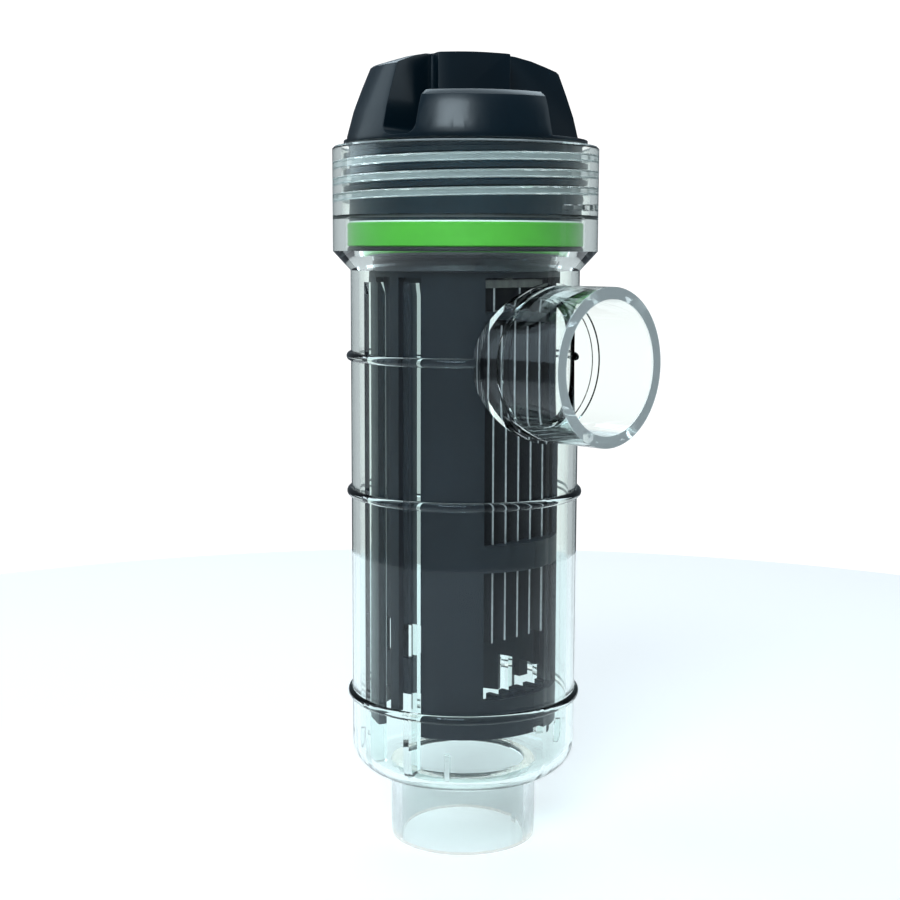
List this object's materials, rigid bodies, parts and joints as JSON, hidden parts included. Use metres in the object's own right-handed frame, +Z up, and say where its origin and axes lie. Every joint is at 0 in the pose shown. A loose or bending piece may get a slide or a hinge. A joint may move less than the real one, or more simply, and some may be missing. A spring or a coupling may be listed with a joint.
{
  "type": "in-line water treatment cell",
  "caption": "Clear in-line water treatment cell with a bottom and a side pipe spigot, a lift-out plate electrode cartridge in a slotted cage, and a screw cap with grip lobes.",
  "frame": {"origin": "centre of the bottom spigot's mouth, on the housing's axis", "axes": "+Z up along the housing's axis towards the cap, +X along the side spigot's axis, away from the housing"},
  "size_m": [0.1294, 0.1064, 0.3189],
  "materials": {
    "clear_plastic": "clear, glossy, faint cool tint",
    "navy_plastic": "satin gloss",
    "white_plastic": "smooth",
    "green_plastic": "smooth, slightly glossy",
    "seal_rubber": "matt",
    "slate_plastic": "satin",
    "steel": "plain",
    "coated_titanium": "dark metal oxide coating with bare edges",
    "titanium": "bare, lightly brushed",
    "brass": "plain",
    "black_plastic": "smooth"
  },
  "bodies": {
    "housing_body": {"housing": "clear_plastic"},
    "cartridge": {"slip_washer": "white_plastic", "green_ring": "green_plastic", "seal_ring": "seal_rubber", "cell_head": "slate_plastic", "cage_front_half": "slate_plastic", "cage_rear_half": "slate_plastic", "cage_screws": "steel", "upper_spacer": "slate_plastic", "comb_port_side": "slate_plastic", "comb_far_side": "slate_plastic", "plate_1": "coated_titanium", "plate_2": "coated_titanium", "plate_3": "coated_titanium", "plate_4": "coated_titanium", "plate_5": "coated_titanium", "cathode_bus": "titanium", "anode_bus": "titanium", "cathode_stud": "titanium", "anode_stud": "titanium", "stud_seals": "seal_rubber", "terminal_washers": "steel", "terminal_nuts": "steel", "link_wires": "brass", "inlet_insert": "black_plastic", "inlet_pins": "brass", "retaining_clip": "steel"},
    "cap": {"screw_cap": "navy_plastic"}
  },
  "joints": [
    {"name": "cartridge_lift", "type": "slide", "parent": "housing_body", "child": "cartridge", "axis": [0, 0, 1], "range_m": [0, 0.027]},
    {"name": "cap_turn", "type": "hinge", "parent": "cartridge", "child": "cap", "pos_m": [0, 0, 0.29], "axis": [0, 0, 1], "range_deg": [0, 1530]}
  ],
  "couplings": [
    {"joint": "cartridge_lift", "follows": "cap_turn", "m_per_rad": 0.0010106}
  ]
}
